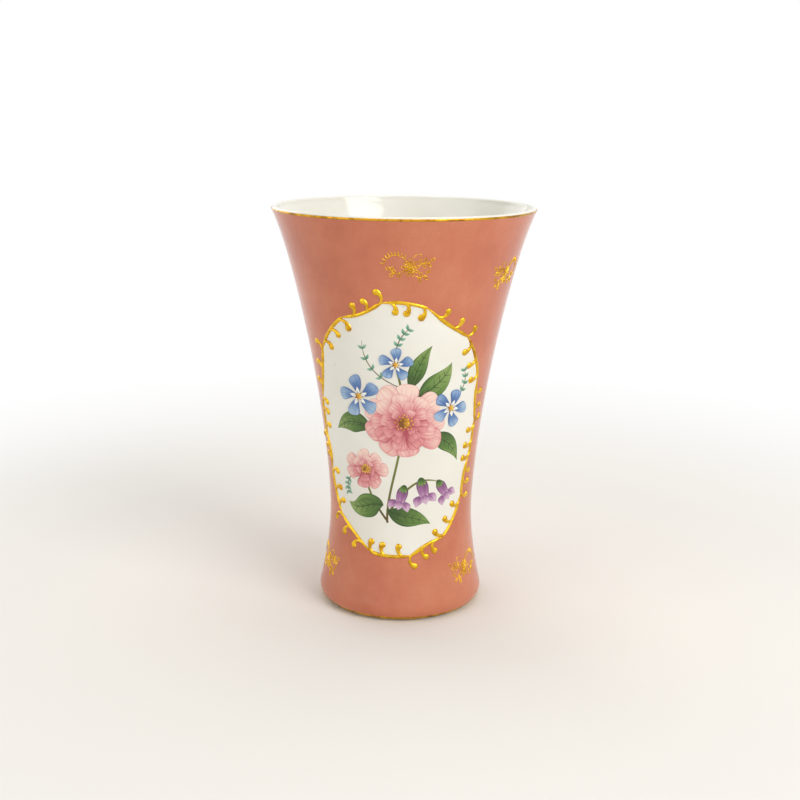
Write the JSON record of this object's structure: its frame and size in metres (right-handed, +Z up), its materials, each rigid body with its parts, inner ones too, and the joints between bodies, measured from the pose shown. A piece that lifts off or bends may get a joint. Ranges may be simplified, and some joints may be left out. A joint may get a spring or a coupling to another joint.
{
  "type": "flower vase",
  "caption": "Round trumpet-shaped porcelain vase with a flared rim and foot, a bare oval medallion in a coloured ground and raised gilt scroll strokes round it; holds cut flowers.",
  "frame": {"origin": "centre of the foot ring, on the surface that the vase stands on", "axes": "+Z up along the vase's axis; the decorated front with the medallion faces -Y"},
  "size_m": [0.1284, 0.1284, 0.2],
  "materials": {
    "porcelain": "glossy clear glaze over white porcelain",
    "ground_enamel": "glossy salmon pink enamel",
    "gilding": "bright burnished gilding, slightly uneven"
  },
  "bodies": {
    "root": {"vase_body": "porcelain", "ground_coat": "ground_enamel", "rim_gilding": "gilding", "foot_gilding": "gilding", "scroll_stroke_01": "gilding", "scroll_stroke_02": "gilding", "scroll_stroke_03": "gilding", "scroll_stroke_04": "gilding", "scroll_stroke_05": "gilding", "scroll_stroke_06": "gilding", "scroll_stroke_07": "gilding", "scroll_stroke_08": "gilding", "scroll_stroke_09": "gilding", "scroll_stroke_10": "gilding", "scroll_stroke_11": "gilding", "scroll_stroke_12": "gilding", "scroll_stroke_13": "gilding", "scroll_stroke_14": "gilding", "scroll_stroke_15": "gilding", "scroll_stroke_16": "gilding"}
  },
  "joints": []
}
